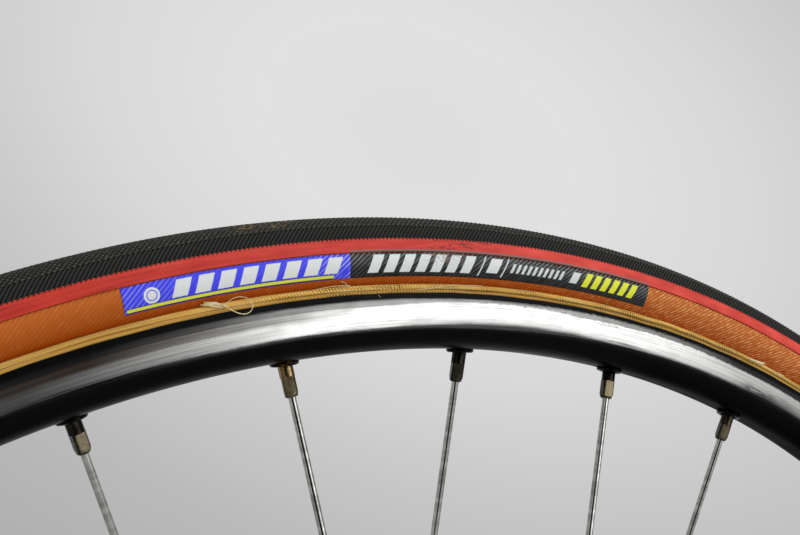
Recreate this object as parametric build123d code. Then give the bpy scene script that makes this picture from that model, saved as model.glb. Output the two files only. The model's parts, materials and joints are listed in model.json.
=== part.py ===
from build123d import *
import math
import os

# A front racing wheel for a road bicycle: a sewn tubular tyre glued to a box-section rim,
# 36 spokes laced three-cross to a small-flange hub, and a hollow axle with a quick release.
# Millimetres. The origin is the hub's centre, +Y is the axle's left end, +Z is up and the
# wheel rolls towards +X. Angles around the wheel run from +Z towards +X.

# ---- Tyre ----
casing_section = 10.45
tread_crown = 0.9
tread_half_angle = 65.8
band_half_angle = 83.7
tape_thickness = 0.9
tape_half_angle = 53.0
bond_gap = 0.05

# ---- Cutting shapes run this far past the faces that they cut ----
overcut = 1.0

# ---- Rim ----
rim_outer_radius = 316.2
rim_depth = 15.2
rim_width = 20.0
bed_depth = 2.5
rim_inner_corner = 5.4
rim_edge_flat = 0.8
rim_edge_round = 0.6
rim_side_wall = 1.6
rim_inner_wall = 1.4
rim_bed_wall = 1.3
bed_hole_gap = 1.1

# ---- Spokes, nipples and eyelets ----
spoke_count = 36
spoke_phase = -17.9
spoke_radius = 1.0
hole_step = 6
elbow_radius = 2.5
crossing_bend = 25.0
crossing_gap = 0.12
spoke_head_radius = 2.2
spoke_head_height = 1.2
seat_stagger = 0.5
eyelet_flange = 0.85
eyelet_height = 1.0
eyelet_wall = 0.5
eyelet_lip = 0.6
eyelet_crown_shift = 0.3
eyelet_bore_round = 0.3
nipple_radius = 2.0
nipple_play = 0.4
nipple_length = 14.0
nipple_head_rim = 0.9
nipple_head_height = 2.4
nipple_flats = 3.4
nipple_flats_length = 5.2
nipple_tip_chamfer = 0.5
nipple_seat_gap = 0.45
nipple_turn = 37.0

# ---- Hub ----
flange_thickness = 3.0
flange_edge = 3.3
flange_hole_circle = 19.5
spoke_hole_gap = 0.2
barrel_wall = 4.0
barrel_end_wall = 8.0
barrel_flare = 6.0
boss_wall = 2.3
boss_length = 6.0
hub_bore_gap = 1.5
cup_radius = 11.2
cup_depth = 9.0
dust_cap_thickness = 1.4
hub_end_gap = 3.0
running_gap = 0.1

# ---- Axle, cones and locknuts ----
over_locknuts = 100.0
axle_radius = 4.5
axle_bore_radius = 2.7
axle_stub = 4.0
axle_chamfer = 0.5
locknut_thickness = 4.0
locknut_flats = 15.0
locknut_chamfer = 0.6
washer_thickness = 1.0
washer_radius = 7.2
cone_radius = 7.5
cone_neck = 5.5
cone_race = 4.5
cone_nose_wall = 0.8
thread_gap = 0.02

# ---- Quick release ----
fork_end_thickness = 6.0
skewer_radius = 2.5
clamp_rim = 1.5
clamp_flange = 2.5
spring_seat_wall = 2.3
spring_seat_depth = 1.5
spring_wire = 0.4
spring_turns = 3
spring_play = 0.4
housing_radius = 8.0
housing_length = 16.0
housing_wall = 2.9
housing_floor = 2.0
housing_dome = 5.0
cam_offset = 9.0
cam_shaft_radius = 3.5
cam_gap = 0.1
cam_eye_wall = 1.2
lever_gap = 0.35
lever_ear = 2.5
lever_ear_wall = 1.7
lever_reach = 54.0
lever_thickness = 3.0
lever_tip_width = 12.0
lever_rise = 11.0
lever_throat_gap = 3.5
lever_tip_roundness = 0.8
pivot_head_rim = 1.1
pivot_head_height = 1.2
nut_length = 14.0
nut_nose_radius = 6.2
nut_nose_step = 0.8
nut_taper = 2.0
nut_dome = 4.0
nut_end_wall = 3.0
nut_thread_spare = 1.0
nut_flutes = 8
nut_flute_radius = 1.8

# ---- Valve ----
valve_stem_radius = 3.0
valve_neck_radius = 2.6
valve_reach = 22.0
valve_neck = 5.0
valve_hole_gap = 0.2
ring_nut_radius = 4.8
ring_nut_height = 2.6
ring_nut_chamfer = 0.4
valve_core_radius = 2.0
valve_core_length = 2.0
valve_cap_nut_radius = 2.3
valve_cap_nut_height = 3.8
valve_pin_radius = 0.7
valve_pin_length = 2.8

# ---- Tyre and rim, worked out from the sizes above ----
rim_inner_radius = rim_outer_radius - rim_depth
bed_radius_at_centre = rim_outer_radius - bed_depth
tape_section = casing_section + bond_gap + tape_thickness
casing_centre = bed_radius_at_centre + bond_gap + tape_section
tread_section = casing_section + tread_crown / 2
tread_centre = casing_centre + tread_crown / 2

# ---- Spokes, nipples and eyelets ----
pitch = 360 / spoke_count
hole_offset = hole_step * pitch
crossing_angle = pitch
nipple_head_radius = nipple_radius + nipple_head_rim
eyelet_bore_radius = nipple_radius + nipple_play
eyelet_barrel_radius = eyelet_bore_radius + eyelet_wall
eyelet_radius = eyelet_barrel_radius + eyelet_flange
bed_hole_radius = nipple_head_radius + bed_hole_gap
flange_hole_radius = spoke_radius + spoke_hole_gap
valve_angle = spoke_phase + 19.5 * pitch

# ---- Axle and hub, from the locknut faces inwards ----
locknut_face = over_locknuts / 2
washer_face = locknut_face - locknut_thickness
cone_face = washer_face - washer_thickness
axle_end = locknut_face + axle_stub
hub_end = cone_face - hub_end_gap
flange_outer_face = hub_end - boss_length
flange_inner_face = flange_outer_face - flange_thickness
flange_offset = (flange_outer_face + flange_inner_face) / 2
flange_radius = flange_hole_circle + flange_edge
hub_bore_radius = axle_radius + hub_bore_gap
barrel_radius = hub_bore_radius + barrel_wall
barrel_end_radius = hub_bore_radius + barrel_end_wall
boss_radius = cup_radius + boss_wall

# ---- Quick release, from the fork ends outwards ----
clamp_face = locknut_face + fork_end_thickness
cam_position = clamp_face + cam_offset
clamp_radius = housing_radius + clamp_rim
spring_seat_radius = clamp_radius - spring_seat_wall
lever_ear_radius = cam_shaft_radius + lever_ear_wall
lever_throat = housing_radius + lever_throat_gap
pivot_head_radius = cam_shaft_radius + pivot_head_rim
nut_bore_end = clamp_face + nut_length - nut_end_wall


def ring(section):
    """Turn a flat section, drawn as (radius, distance along the axle), into a full ring."""
    return revolve(section, Axis.Y)


def turned(points):
    """Turn a closed outline of (radius, distance along the axle) points into a solid."""
    return revolve(make_face(Polyline(*points, close=True)), Axis.Y)


def disc(radius, start, end):
    """A round bar along the axle, between two distances from the hub's centre."""
    bar = Cylinder(radius, abs(end - start))
    return Pos(0, (start + end) / 2, 0) * Rot(90, 0, 0) * bar


def stud(radius, start, end):
    """A round bar along the wheel's radius at the top, between two radii."""
    return Pos(0, 0, (start + end) / 2) * Cylinder(radius, abs(end - start))


def around(shape, angle):
    """Carry a shape made at the top of the wheel round to an angle."""
    return Rot(0, angle, 0) * shape


def on_right(shape):
    """The right-hand twin of a left-hand piece."""
    return mirror(shape, Plane.XZ)


def save(name, *solids):
    """Write one node, which may hold several separate solids."""
    shape = solids[0] if len(solids) == 1 else Compound(children=list(solids))
    export_step(shape, f"parts/{name}.step")


# ---- Tyre ----

def section_circle(centre, radius):
    """A filled circle in the tyre's section, with its centre at a wheel radius."""
    return Pos(centre, 0) * Circle(radius)


def section_wedge(low, high):
    """The part of the tyre's section between two angles from its crown."""
    far = 4 * tread_section
    corners = [(0, 0)]
    for angle in (low, high):
        turn = math.radians(angle)
        corners.append((far * math.cos(turn), far * math.sin(turn)))
    return Pos(tread_centre, 0) * make_face(Polyline(*corners, close=True))


def tyre_rubber(low, high):
    """The rubber over the casing between two angles from the crown."""
    skin = section_circle(tread_centre, tread_section)
    skin -= section_circle(casing_centre, casing_section + bond_gap)
    return ring(skin & section_wedge(low, high))


def make_tread():
    return tyre_rubber(-tread_half_angle, tread_half_angle)


def make_shoulder_bands():
    seam = math.degrees(bond_gap / tread_section)
    left = tyre_rubber(tread_half_angle + seam, band_half_angle)
    return [left, on_right(left)]


def make_casing():
    return ring(section_circle(casing_centre, casing_section))


def make_base_tape():
    band = section_circle(casing_centre, tape_section)
    band -= section_circle(casing_centre, casing_section + bond_gap)
    top_edge = casing_centre - tape_section * math.cos(math.radians(tape_half_angle))
    below = Pos(top_edge - tape_section, 0) * Rectangle(2 * tape_section, 3 * tape_section)
    return ring(band & below)


# ---- Rim ----

def bed_circle(drop):
    """The circle of the hollow that the tyre sits in, or of a surface that far under it."""
    edge = rim_width / 2 - rim_edge_flat
    sag = rim_outer_radius - bed_radius_at_centre
    radius = (edge ** 2 + sag ** 2) / (2 * sag)
    return section_circle(bed_radius_at_centre + radius, radius + drop)


def rim_section():
    middle = (rim_outer_radius + rim_inner_radius) / 2
    body = Pos(middle, 0) * Rectangle(rim_depth, rim_width)
    body = fillet(body.vertices().group_by(Axis.X)[0], rim_inner_corner)
    body = fillet(body.vertices().group_by(Axis.X)[-1], rim_edge_round)
    return body - bed_circle(0)


def rim_hollow_section():
    low = rim_inner_radius + rim_inner_wall
    width = rim_width - 2 * rim_side_wall
    hollow = Pos((low + rim_outer_radius) / 2, 0) * Rectangle(rim_outer_radius - low, width)
    hollow -= bed_circle(rim_bed_wall)
    corner = rim_inner_corner - rim_inner_wall
    return fillet(hollow.vertices().group_by(Axis.X)[0], corner)


def make_rim():
    body = ring(rim_section()) - ring(rim_hollow_section())
    cavity = (rim_inner_radius + rim_outer_radius) / 2
    barrel = stud(eyelet_barrel_radius + thread_gap, rim_inner_radius - rim_depth, cavity)
    opening = stud(bed_hole_radius, cavity, rim_outer_radius + rim_depth)
    valve = stud(valve_stem_radius + valve_hole_gap, rim_inner_radius - rim_depth,
                 rim_outer_radius + rim_depth)
    drills = [around(valve, valve_angle)]
    for number in range(spoke_count):
        side = spoke_side(number)
        drill = Pos(0, side * seat_stagger, 0) * (barrel + opening)
        drills.append(around(drill, spoke_angle(number)))
    return body - drills


# ---- Spokes, nipples and eyelets ----

def spoke_angle(number):
    return spoke_phase + number * pitch


def spoke_side(number):
    """+1 where the spoke goes to the left flange, -1 to the right."""
    return 1 if number % 2 == 0 else -1


def spoke_lean(number):
    """+1 where the spoke trails, so its flange hole is ahead of its rim hole, else -1."""
    return 1 if number % 4 < 2 else -1


def spoke_outside(number):
    """+1 where the spoke runs outside its flange and its head is inside, else -1."""
    return -spoke_lean(number)


def ray_point(angle, radius, across):
    """A point at an angle round the wheel, a radius and a distance along the axle."""
    turn = math.radians(angle)
    return Vector(radius * math.sin(turn), across, radius * math.cos(turn))


def crossing_radius():
    """Where a spoke meets its last crossing partner, from the two ends of its line."""
    full = math.radians(hole_offset)
    part = math.radians(crossing_angle)
    top = rim_inner_radius * flange_hole_circle * math.sin(full)
    base = rim_inner_radius * math.sin(part) + flange_hole_circle * math.sin(full - part)
    return top / base


def run_offset(outside):
    """How far out a spoke leaves its flange, past the elbow."""
    return flange_offset + outside * (flange_thickness / 2 + elbow_radius)


def crossing_offset(outside):
    """How far out a spoke passes its crossing: the outside spoke ducks inside the other."""
    share = 1 - (crossing_radius() - flange_hole_circle) / rim_inner_radius
    middle = flange_offset * share
    return middle - outside * (spoke_radius + crossing_gap / 2)


def spoke_points(number):
    """Head face, elbow, crossing and rim seat of one spoke."""
    angle = spoke_angle(number)
    side = spoke_side(number)
    lean = spoke_lean(number)
    outside = spoke_outside(number)
    hole = angle + lean * hole_offset
    head = ray_point(hole, flange_hole_circle,
                     side * (flange_offset - outside * flange_thickness / 2))
    elbow = ray_point(hole, flange_hole_circle, side * run_offset(outside))
    crossing = ray_point(angle + lean * crossing_angle, crossing_radius(),
                         side * crossing_offset(outside))
    seat = ray_point(angle, rim_inner_radius, side * seat_stagger)
    return head, elbow, crossing, seat


def make_spoke(number):
    head, elbow, crossing, seat = spoke_points(number)
    aim = (seat - crossing).normalized()
    end = seat + aim * (rim_inner_wall + eyelet_lip)
    route = FilletPolyline(head, elbow, crossing, end, radius=[elbow_radius, crossing_bend])
    start = Plane(origin=head, z_dir=(elbow - head).normalized())
    wire = sweep(start * Circle(spoke_radius), path=route)
    button = start * Pos(0, 0, -spoke_head_height / 2)
    button *= Cone(spoke_radius, spoke_head_radius, spoke_head_height)
    return wire + button


def make_nipple(number):
    _, _, crossing, seat = spoke_points(number)
    aim = (seat - crossing).normalized()
    inner = rim_inner_wall + eyelet_lip + nipple_seat_gap
    barrel = nipple_length - nipple_head_height
    shank = Pos(0, 0, inner - barrel / 2) * Cylinder(nipple_radius, barrel)
    head = Pos(0, 0, inner + nipple_head_height / 2)
    head *= Cylinder(nipple_head_radius, nipple_head_height)
    collar = inner - barrel + nipple_flats_length
    wrench = Pos(0, 0, collar - nipple_flats_length / 2)
    wrench *= Box(nipple_flats, nipple_flats, nipple_flats_length)
    tip = Pos(0, 0, collar - nipple_flats_length / 2)
    tip *= chamfer(Cylinder(nipple_radius, nipple_flats_length).edges().group_by(Axis.Z)[0],
                   nipple_tip_chamfer)
    above = Pos(0, 0, collar + barrel / 2) * Cylinder(nipple_radius, barrel)
    body = (shank & above) + (wrench & tip) + head
    body -= Cylinder(spoke_radius + thread_gap, 4 * nipple_length)
    turn = Rot(0, 0, number * nipple_turn)
    return Plane(origin=seat, z_dir=aim) * turn * body


def make_eyelet(number):
    """A pressed ring: a domed flange under the rim, and a barrel through its inner wall."""
    low = rim_inner_radius - eyelet_height
    base = rim_inner_radius - bond_gap
    top = rim_inner_radius + rim_inner_wall + eyelet_lip
    crown = (eyelet_radius + eyelet_bore_radius) / 2
    lip = base - eyelet_bore_round
    dome = ThreePointArc((eyelet_radius, base), (crown + eyelet_crown_shift, low),
                         (eyelet_bore_radius, lip))
    wall = Polyline((eyelet_bore_radius, lip), (eyelet_bore_radius, top),
                    (eyelet_barrel_radius, top), (eyelet_barrel_radius, base),
                    (eyelet_radius, base))
    profile = make_face(Plane.XZ * (dome + wall))
    body = revolve(profile, Axis.Z)
    return around(Pos(0, spoke_side(number) * seat_stagger, 0) * body, spoke_angle(number))


def spokes_of(side, lean):
    """The spokes of one flange that lean one way."""
    numbers = range(spoke_count)
    return [n for n in numbers if spoke_side(n) == side and spoke_lean(n) == lean]


# ---- Hub ----

def hub_half_outline():
    """The hub's left half in section, from the middle of its barrel to its end."""
    flare = flange_inner_face - (barrel_end_radius - barrel_radius)
    outer = [(hub_bore_radius, 0), (barrel_radius, 0), (barrel_radius, flare - barrel_flare)]
    outer += [(barrel_end_radius, flange_inner_face), (flange_radius, flange_inner_face)]
    outer += [(flange_radius, flange_outer_face), (boss_radius, flange_outer_face)]
    outer += [(boss_radius, hub_end), (cup_radius, hub_end)]
    outer += [(cup_radius, hub_end - cup_depth), (hub_bore_radius, hub_end - cup_depth)]
    return outer


def make_hub_shell():
    half = turned(hub_half_outline())
    edges = half.edges().filter_by(GeomType.CIRCLE)
    rim_edges = [e for e in edges if abs(e.radius - flange_radius) < 0.01]
    half = fillet(rim_edges, flange_thickness / 4)
    body = half + on_right(half)
    drill = disc(flange_hole_radius, flange_inner_face - overcut, flange_outer_face + overcut)
    drill = Pos(0, 0, flange_hole_circle) * drill
    drills = []
    for number in range(spoke_count):
        hole = around(drill, spoke_angle(number) + spoke_lean(number) * hole_offset)
        drills.append(hole if spoke_side(number) > 0 else on_right(hole))
    return body - drills


def make_dust_cap():
    """The pressed cap that closes the bearing and runs round the cone."""
    outer = hub_end - running_gap
    inner = outer - dust_cap_thickness
    cap = disc(cup_radius - thread_gap, inner, outer)
    return cap - disc(cone_radius + running_gap, inner - overcut, outer + overcut)


# ---- Axle, cones and locknuts ----

def make_axle():
    bar = disc(axle_radius, -axle_end, axle_end)
    bar = chamfer(bar.edges().filter_by(GeomType.CIRCLE), axle_chamfer)
    return bar - disc(axle_bore_radius, -axle_end - overcut, axle_end + overcut)


def make_cone():
    race_end = cone_face - cone_neck - cone_race
    bore = axle_radius + thread_gap
    profile = [(bore, race_end), (bore + cone_nose_wall, race_end), (cone_radius, cone_face - cone_neck)]
    profile += [(cone_radius, cone_face), (bore, cone_face)]
    return turned(profile)


def make_washer():
    blank = disc(washer_radius, cone_face, washer_face)
    return blank - disc(axle_radius + thread_gap, cone_face - overcut, washer_face + overcut)


def make_locknut():
    prism = extrude(RegularPolygon(locknut_flats / 2, 6, major_radius=False), locknut_thickness)
    prism = Pos(0, locknut_face, 0) * Rot(90, 0, 0) * prism
    corner = locknut_flats / 2 / math.cos(math.radians(30))
    blank = disc(corner, washer_face, locknut_face)
    blank = chamfer(blank.edges().filter_by(GeomType.CIRCLE), locknut_chamfer)
    bore = disc(axle_radius + thread_gap, washer_face - overcut, locknut_face + overcut)
    return (prism & blank) - bore


# ---- Quick release ----

def make_skewer():
    """The rod through the axle, and its eye round the lever's cam."""
    eye_radius = housing_radius - housing_wall - running_gap
    eye_start = clamp_face + spring_seat_depth + housing_floor + running_gap
    eye_end = cam_position + cam_shaft_radius + cam_eye_wall
    rod = disc(skewer_radius, nut_thread_spare - nut_bore_end, eye_start)
    eye = disc(eye_radius, eye_start, eye_end)
    return rod + eye - cross_bar(cam_shaft_radius + cam_gap, 4 * housing_radius)


def cross_bar(radius, length):
    """A round bar across the skewer, on the lever's pivot."""
    return Pos(0, cam_position, 0) * Rot(0, 90, 0) * Cylinder(radius, length)


def make_housing():
    """The cam housing: a clamp flange, a round body with a domed end, hollow inside."""
    end = clamp_face + housing_length
    body = disc(housing_radius, clamp_face, end)
    body = fillet(body.edges().filter_by(GeomType.CIRCLE).group_by(Axis.Y)[-1], housing_dome)
    body += disc(clamp_radius, clamp_face, clamp_face + clamp_flange)
    cavity = clamp_face + spring_seat_depth + housing_floor
    cavity_end = cam_position + cam_shaft_radius + cam_eye_wall + running_gap
    body -= disc(housing_radius - housing_wall, cavity, cavity_end)
    body -= disc(spring_seat_radius, clamp_face - overcut, clamp_face + spring_seat_depth)
    body -= disc(skewer_radius + running_gap, clamp_face, cavity + overcut)
    return body - cross_bar(cam_shaft_radius + cam_gap, 4 * housing_radius)


def make_adjusting_nut():
    """The nut on the skewer's right end, fluted for the fingers."""
    face = clamp_face
    end = face + nut_length
    skirt = [(0, face), (clamp_radius, face), (clamp_radius, face + clamp_flange)]
    skirt += [(nut_nose_radius + nut_nose_step, face + clamp_flange + nut_taper)]
    skirt += [(nut_nose_radius, end), (0, end)]
    body = turned(skirt)
    body = fillet(body.edges().filter_by(GeomType.CIRCLE).group_by(Axis.Y)[-1], nut_dome)
    flute = disc(nut_flute_radius, face + clamp_flange + nut_taper / 2, end + overcut)
    flute = Pos(0, 0, nut_nose_radius + nut_flute_radius) * flute
    for number in range(nut_flutes):
        body -= around(flute, number * 360 / nut_flutes)
    body -= disc(spring_seat_radius, face - overcut, face + spring_seat_depth)
    body -= disc(skewer_radius + thread_gap, face, nut_bore_end)
    return on_right(body)


def make_spring():
    """A conical centring spring between the axle's end and its seat."""
    small = skewer_radius + spring_wire + spring_play
    large = spring_seat_radius - spring_wire - spring_play
    low = axle_end + spring_wire + bond_gap
    high = clamp_face + spring_seat_depth - spring_wire - bond_gap
    height = high - low
    slope = math.degrees(math.atan((large - small) / height))
    coil = Helix(height / spring_turns, height, small, cone_angle=slope)
    wire = sweep(Plane(origin=coil @ 0, z_dir=coil % 0) * Circle(spring_wire), path=coil,
                 is_frenet=True)
    return Pos(0, low, 0) * Rot(-90, 0, 0) * wire


def lever_profile():
    """The lever from its side, as (out from the pivot, away from the pivot)."""
    straight = lever_throat + lever_thickness
    bow = lever_reach - straight
    sweep_angle = 2 * math.atan(lever_rise / bow)
    bow_radius = bow / math.sin(sweep_angle)
    stem = Line((0, 0), (0, straight))
    curve = JernArc((0, straight), (0, 1), bow_radius, -math.degrees(sweep_angle))
    return make_face(offset(stem + curve, lever_thickness / 2, side=Side.BOTH))


def lever_front(half):
    """The lever from the front: square shoulders that taper to a rounded tip."""
    shoulder = lever_throat + lever_thickness
    tip = lever_tip_width / 2
    top = lever_reach + lever_thickness
    corners = [(-half, -half), (half, -half), (half, shoulder), (tip, top), (-tip, top)]
    corners.append((-half, shoulder))
    outline = make_face(Polyline(*corners, close=True))
    return fillet(outline.vertices().group_by(Axis.Y)[-1], tip * lever_tip_roundness)


def make_lever():
    """The lever: two ears beside the housing that join above it into one bowed blade."""
    inner = housing_radius + lever_gap
    half = inner + lever_ear
    blade = extrude(Plane.YZ * lever_profile(), half, both=True)
    front = extrude(Plane.XZ * lever_front(half), 2 * lever_reach, both=True)
    ears = Rot(0, 90, 0) * Cylinder(lever_ear_radius, 2 * half)
    throat = Pos(0, 0, lever_throat - lever_reach / 2)
    throat *= Box(2 * inner, 4 * lever_ear_radius, lever_reach)
    body = (blade & front) + ears - throat
    body -= Rot(0, 90, 0) * Cylinder(cam_shaft_radius + thread_gap, 4 * half)
    return Pos(0, cam_position, 0) * body


def make_lever_pivot():
    half = housing_radius + lever_gap + lever_ear + bond_gap
    shaft = cross_bar(cam_shaft_radius, 2 * half)
    for end in (-1, 1):
        head = Pos(end * (half + pivot_head_height / 2), 0, 0)
        head *= cross_bar(pivot_head_radius, pivot_head_height)
        shaft += head
    return shaft


# ---- Valve ----

def make_valve_stem():
    top = bed_radius_at_centre
    low = rim_inner_radius - valve_reach
    stem = stud(valve_stem_radius, low + valve_neck, top)
    stem += stud(valve_neck_radius, low, low + valve_neck)
    return around(stem, valve_angle)


def make_ring_nut():
    top = rim_inner_radius - bond_gap
    nut = stud(ring_nut_radius, top - ring_nut_height, top)
    nut = chamfer(nut.edges().filter_by(GeomType.CIRCLE), ring_nut_chamfer)
    nut -= stud(valve_stem_radius + thread_gap, top - 2 * ring_nut_height, top + overcut)
    return around(nut, valve_angle)


def make_valve_core():
    """The core above the stem: a neck, its small finger nut and the pin."""
    low = rim_inner_radius - valve_reach
    neck_end = low - valve_core_length
    nut_end = neck_end - valve_cap_nut_height
    core = stud(valve_core_radius, neck_end, low - thread_gap)
    core += stud(valve_cap_nut_radius, nut_end, neck_end)
    core += stud(valve_pin_radius, nut_end - valve_pin_length, nut_end)
    return around(core, valve_angle)


# ---- Write every node ----

os.makedirs("parts", exist_ok=True)

save("tyre_tread", make_tread())
save("tyre_shoulder_bands", *make_shoulder_bands())
save("tyre_casing", make_casing())
save("tyre_base_tape", make_base_tape())
save("rim", make_rim())

save("spoke_eyelets", *[make_eyelet(n) for n in range(spoke_count)])
save("spoke_nipples", *[make_nipple(n) for n in range(spoke_count)])
save("spokes_left_trailing", *[make_spoke(n) for n in spokes_of(1, 1)])
save("spokes_left_leading", *[make_spoke(n) for n in spokes_of(1, -1)])
save("spokes_right_trailing", *[make_spoke(n) for n in spokes_of(-1, 1)])
save("spokes_right_leading", *[make_spoke(n) for n in spokes_of(-1, -1)])

save("hub_shell", make_hub_shell())
save("axle", make_axle())
for name, make in (("dust_cap", make_dust_cap), ("cone", make_cone),
                   ("cone_washer", make_washer), ("locknut", make_locknut),
                   ("skewer_spring", make_spring)):
    left = make()
    save(name + "_left", left)
    save(name + "_right", on_right(left))

save("skewer", make_skewer())
save("cam_housing", make_housing())
save("adjusting_nut", make_adjusting_nut())
save("quick_release_lever", make_lever())
save("lever_pivot", make_lever_pivot())

save("valve_stem", make_valve_stem())
save("valve_ring_nut", make_ring_nut())
save("valve_core", make_valve_core())
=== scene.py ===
import json
import math

import bpy
import numpy as np
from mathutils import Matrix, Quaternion, Vector


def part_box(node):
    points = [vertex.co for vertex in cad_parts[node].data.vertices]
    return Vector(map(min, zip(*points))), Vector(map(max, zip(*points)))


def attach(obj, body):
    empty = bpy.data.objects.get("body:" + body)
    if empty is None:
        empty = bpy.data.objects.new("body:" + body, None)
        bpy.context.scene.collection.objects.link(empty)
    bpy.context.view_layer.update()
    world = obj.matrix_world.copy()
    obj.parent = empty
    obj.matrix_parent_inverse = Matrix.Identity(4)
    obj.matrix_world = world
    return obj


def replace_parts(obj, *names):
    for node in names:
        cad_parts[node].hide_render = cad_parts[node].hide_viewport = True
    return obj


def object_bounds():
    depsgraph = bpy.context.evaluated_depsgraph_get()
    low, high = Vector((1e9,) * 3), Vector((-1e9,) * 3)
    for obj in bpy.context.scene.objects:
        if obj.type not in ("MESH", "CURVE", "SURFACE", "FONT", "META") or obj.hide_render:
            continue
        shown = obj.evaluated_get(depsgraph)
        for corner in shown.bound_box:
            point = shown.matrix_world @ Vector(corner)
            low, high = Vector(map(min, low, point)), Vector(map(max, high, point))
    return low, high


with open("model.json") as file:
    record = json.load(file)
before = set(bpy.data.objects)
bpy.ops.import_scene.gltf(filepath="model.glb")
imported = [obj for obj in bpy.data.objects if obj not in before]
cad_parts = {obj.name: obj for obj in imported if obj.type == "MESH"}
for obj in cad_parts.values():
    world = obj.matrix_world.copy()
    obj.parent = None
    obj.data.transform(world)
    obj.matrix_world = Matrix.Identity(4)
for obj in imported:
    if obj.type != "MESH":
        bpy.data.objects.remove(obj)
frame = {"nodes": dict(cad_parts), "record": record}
cad_box = [list(corner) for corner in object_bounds()]

# The finish of a front racing wheel: the moulded tread, the red shoulders, the corded skin walls,
# the base tape, the worn rim and the small metal parts. Sizes are in millimetres and angles in
# degrees. Angles round the wheel run from +Z to +X. Angles round the tyre's section run from the
# crown towards the right-hand side, which is -Y.
MM = 0.001

# ---- Sizes of the tyre and rim ----
tread_low, tread_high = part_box("tyre_tread")
crown_radius = min(tread_high.z, -tread_low.x) / MM
tread_section = 10.9
tread_centre = crown_radius - tread_section
casing_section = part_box("tyre_casing")[1].y / MM
casing_drop = 0.45
casing_centre = tread_centre - casing_drop
tape_section = 11.4
rim_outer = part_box("rim")[1].x / MM
rim_half_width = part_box("rim")[1].y / MM
rim_depth = 15.2
rim_inner = rim_outer - rim_depth
lap = 2 * math.pi * crown_radius

# ---- Tread pattern ----
rib_height = 0.3
file_height = 0.13
side_rib_pitch = 1.155
file_pitch = 1.41
rib_slant = 50.0
rib_tooth = 0.6
centre_half_angle = 41.5
side_zone = (42.6, 65.8)
base_half_angle = 65.6
band_angles = (83.7, 64.7)
rubbed_half_width = 7.6

# ---- Casing cords ----
cord_slant = 40.0
cord_count = 1392
cord_pitch = lap / cord_count * math.sin(math.radians(cord_slant))
cord_rise = 0.14
corded_arc = (131.0, 82.5)

# ---- Base tape ----
twill_slant = 66
twill_pitch = 0.83
stitch_pitch = 0.89
seam_angle = -2.36

# ---- Label on the casing, right and left ----
label_ends = (-15.0, 12.4)
label_girth = (82.7, 117.4)
blue_end = -4.9
film_rise = 0.13
film_thickness = 0.07
ring_mark = (-13.82, 18.95)

# ---- Spokes and nipples ----
spoke_count = 36
spoke_step = 360 / spoke_count
first_spoke = -17.9
rim_inner_radius = 301.0
seat_out = 0.5
crossing_at = 75.63
crossing_out = (27.01, 29.13)
nipple_round = 2.0
nipple_flat = 1.7
nipple_collar = -3.95
nipple_tip = -9.15
flat_turns = (12, -13, -17, -14, -21, 31, -40)
crusts = (0.4, 0.3, 0.08, 0.95, 0.28, 0.2, 0.0)
bare_brass = (0.0, 0.9, 0.0, 0.0, 0.1, 0.4, 0.0)
eyelet_draw = (7.6, 56.5)
valve_pitch = 0.8

STEPS = 720
CREASE = math.radians(38)


# ---- Colour and node helpers ----

def srgb(code):
    """A colour written as sRGB hex, turned to the linear values that a shader takes."""
    shares = [int(code[i:i + 2], 16) / 255 for i in (1, 3, 5)]
    linear = [s / 12.92 if s <= 0.04045 else ((s + 0.055) / 1.055) ** 2.4 for s in shares]
    return (*linear, 1.0)


def add(tree, kind, inputs=None, stops=None, **settings):
    """Add a node with its settings, its inputs' values, hex colours or links, and a ramp's
    stops."""
    node = tree.nodes.new("ShaderNode" + kind)
    for name, value in settings.items():
        setattr(node, name, value)
    for key, value in (inputs or {}).items():
        if isinstance(value, str):
            value = srgb(value)
        if isinstance(value, bpy.types.Node):
            value = value.outputs[0]
        if isinstance(value, bpy.types.NodeSocket):
            tree.links.new(value, node.inputs[key])
        else:
            node.inputs[key].default_value = value
    if stops:
        ramp = node.color_ramp.elements
        while len(ramp) < len(stops):
            ramp.new(1.0)
        for element, (position, colour) in zip(ramp, stops):
            element.position = position
            element.color = srgb(colour) if isinstance(colour, str) else (colour,) * 3 + (1,)
    return node


def finish(name, build):
    """A material built by one of the functions below, which returns its surface shader."""
    material = bpy.data.materials.new(name)
    material.use_nodes = True
    tree = material.node_tree
    tree.nodes.clear()
    shader = build(tree)
    tree.links.new(shader.outputs[0], add(tree, "OutputMaterial").inputs["Surface"])
    return material


def wheel_place(tree):
    """Millimetres round the wheel, and millimetres across from the crown on either side."""
    place = add(tree, "SeparateXYZ", {0: add(tree, "UVMap", uv_map="place")})
    across = add(tree, "Math", {0: place.outputs[1]}, operation="ABSOLUTE")
    return place.outputs[0], across.outputs[0]


def slanted(tree, along, across, slant, pitch):
    """Counts of a slanted line pattern, and millimetres along its lines."""
    turn = math.radians(slant)
    sideways = add(tree, "Math", {0: across, 1: math.cos(turn) / pitch}, operation="MULTIPLY")
    count = add(tree, "Math", {0: along, 1: math.sin(turn) / pitch, 2: sideways},
                operation="MULTIPLY_ADD")
    back = add(tree, "Math", {0: across, 1: -math.sin(turn)}, operation="MULTIPLY")
    run = add(tree, "Math", {0: along, 1: math.cos(turn), 2: back}, operation="MULTIPLY_ADD")
    return count.outputs[0], run.outputs[0]


def crests(tree, count):
    """A wave from 0 in the valley to 1 on the crest, once for each count."""
    turns = add(tree, "Math", {0: count, 1: 2 * math.pi}, operation="MULTIPLY")
    wave = add(tree, "Math", {0: turns}, operation="SINE")
    return add(tree, "Math", {0: wave, 1: 0.5, 2: 0.5}, operation="MULTIPLY_ADD").outputs[0]


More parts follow.
